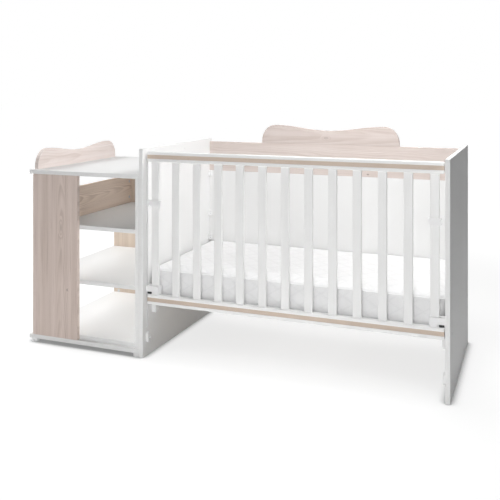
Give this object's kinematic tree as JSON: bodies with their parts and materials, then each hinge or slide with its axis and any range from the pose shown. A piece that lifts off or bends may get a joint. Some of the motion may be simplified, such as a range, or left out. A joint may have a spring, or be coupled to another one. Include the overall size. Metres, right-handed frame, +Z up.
{
  "type": "cot with attached changing unit",
  "caption": "Slatted cot with a drop side that slides down on sprung latches, joined to an open changing unit with shelves, a wooden upright and a raised guard.",
  "frame": {"origin": "on the floor under the middle of the whole piece, crib and changing unit together", "axes": "+X runs from the changing unit along the crib, +Y from the drop side to the back, +Z up"},
  "size_m": [1.8386, 0.7, 0.957],
  "materials": {
    "white_board": "satin",
    "white_lacquer": "satin",
    "grey_oak": "matt",
    "beige_wood": "matt",
    "beech": "matt",
    "zinc_steel": "satin",
    "white_plastic": "satin",
    "black_plastic": "satin",
    "mattress_cover": "quilted"
  },
  "bodies": {
    "crib_frame": {"end_panel_left": "white_board", "end_panel_right": "white_board", "back_top_board": "grey_oak", "back_panel": "white_board", "headboard_crest": "grey_oak", "dowels": "beech", "cam_discs": "zinc_steel", "cam_bolts": "zinc_steel", "corner_blocks": "white_plastic", "base_end_rails": "white_board", "base_side_rail_front": "white_board", "base_side_rail_back": "white_board", "base_slats": "beech", "base_brackets": "white_plastic", "base_bolts": "zinc_steel", "base_insert_nuts": "zinc_steel", "bolt_hole_caps": "white_plastic", "guide_track_left": "white_plastic", "guide_track_right": "white_plastic", "panel_screws": "zinc_steel", "drop_stops": "white_plastic", "changer_top": "white_board", "changer_base_board": "white_board", "changer_deck": "white_board", "changer_side_panel": "white_board", "changer_front_upright": "grey_oak", "changer_back_upright": "grey_oak", "changer_gallery_rail": "grey_oak", "changer_upper_shelf": "white_board", "changer_middle_shelf": "white_board", "changer_guard": "grey_oak", "changer_feet": "white_plastic", "joining_bolts": "zinc_steel"},
    "drop_side": {"drop_top_rail": "white_lacquer", "drop_bottom_rail": "white_lacquer", "top_rail_strip": "beige_wood", "bottom_rail_strip": "beige_wood", "slat_1": "white_lacquer", "slat_2": "white_lacquer", "slat_3": "white_lacquer", "slat_4": "white_lacquer", "slat_5": "white_lacquer", "slat_6": "white_lacquer", "slat_7": "white_lacquer", "slat_8": "white_lacquer", "slat_9": "white_lacquer", "slat_10": "white_lacquer", "slat_11": "white_lacquer", "slat_12": "white_lacquer", "slat_13": "white_lacquer", "guide_clips": "white_plastic", "latch_housing_left": "white_plastic", "latch_housing_right": "white_plastic", "housing_screws": "zinc_steel", "latch_spring_left": "zinc_steel", "latch_spring_right": "zinc_steel"},
    "latch_left": {"latch_bolt_left": "black_plastic"},
    "latch_right": {"latch_bolt_right": "black_plastic"},
    "mattress": {"mattress": "mattress_cover"}
  },
  "joints": [
    {"name": "drop_side_slide", "type": "slide", "parent": "crib_frame", "child": "drop_side", "axis": [0, 0, -1], "range_m": [0, 0.12]},
    {"name": "latch_left_slide", "type": "slide", "parent": "drop_side", "child": "latch_left", "axis": [1, 0, 0], "range_m": [-0.005, 0.005], "stiffness_N_per_m": 400, "springref_m": -0.007, "deforming": ["latch_spring_left"]},
    {"name": "latch_right_slide", "type": "slide", "parent": "drop_side", "child": "latch_right", "axis": [-1, 0, 0], "range_m": [-0.005, 0.005], "stiffness_N_per_m": 400, "springref_m": -0.007, "deforming": ["latch_spring_right"]},
    {"name": "mattress_lift", "type": "slide", "parent": "crib_frame", "child": "mattress", "axis": [0, 0, 1], "range_m": [0, 0.65]}
  ]
}
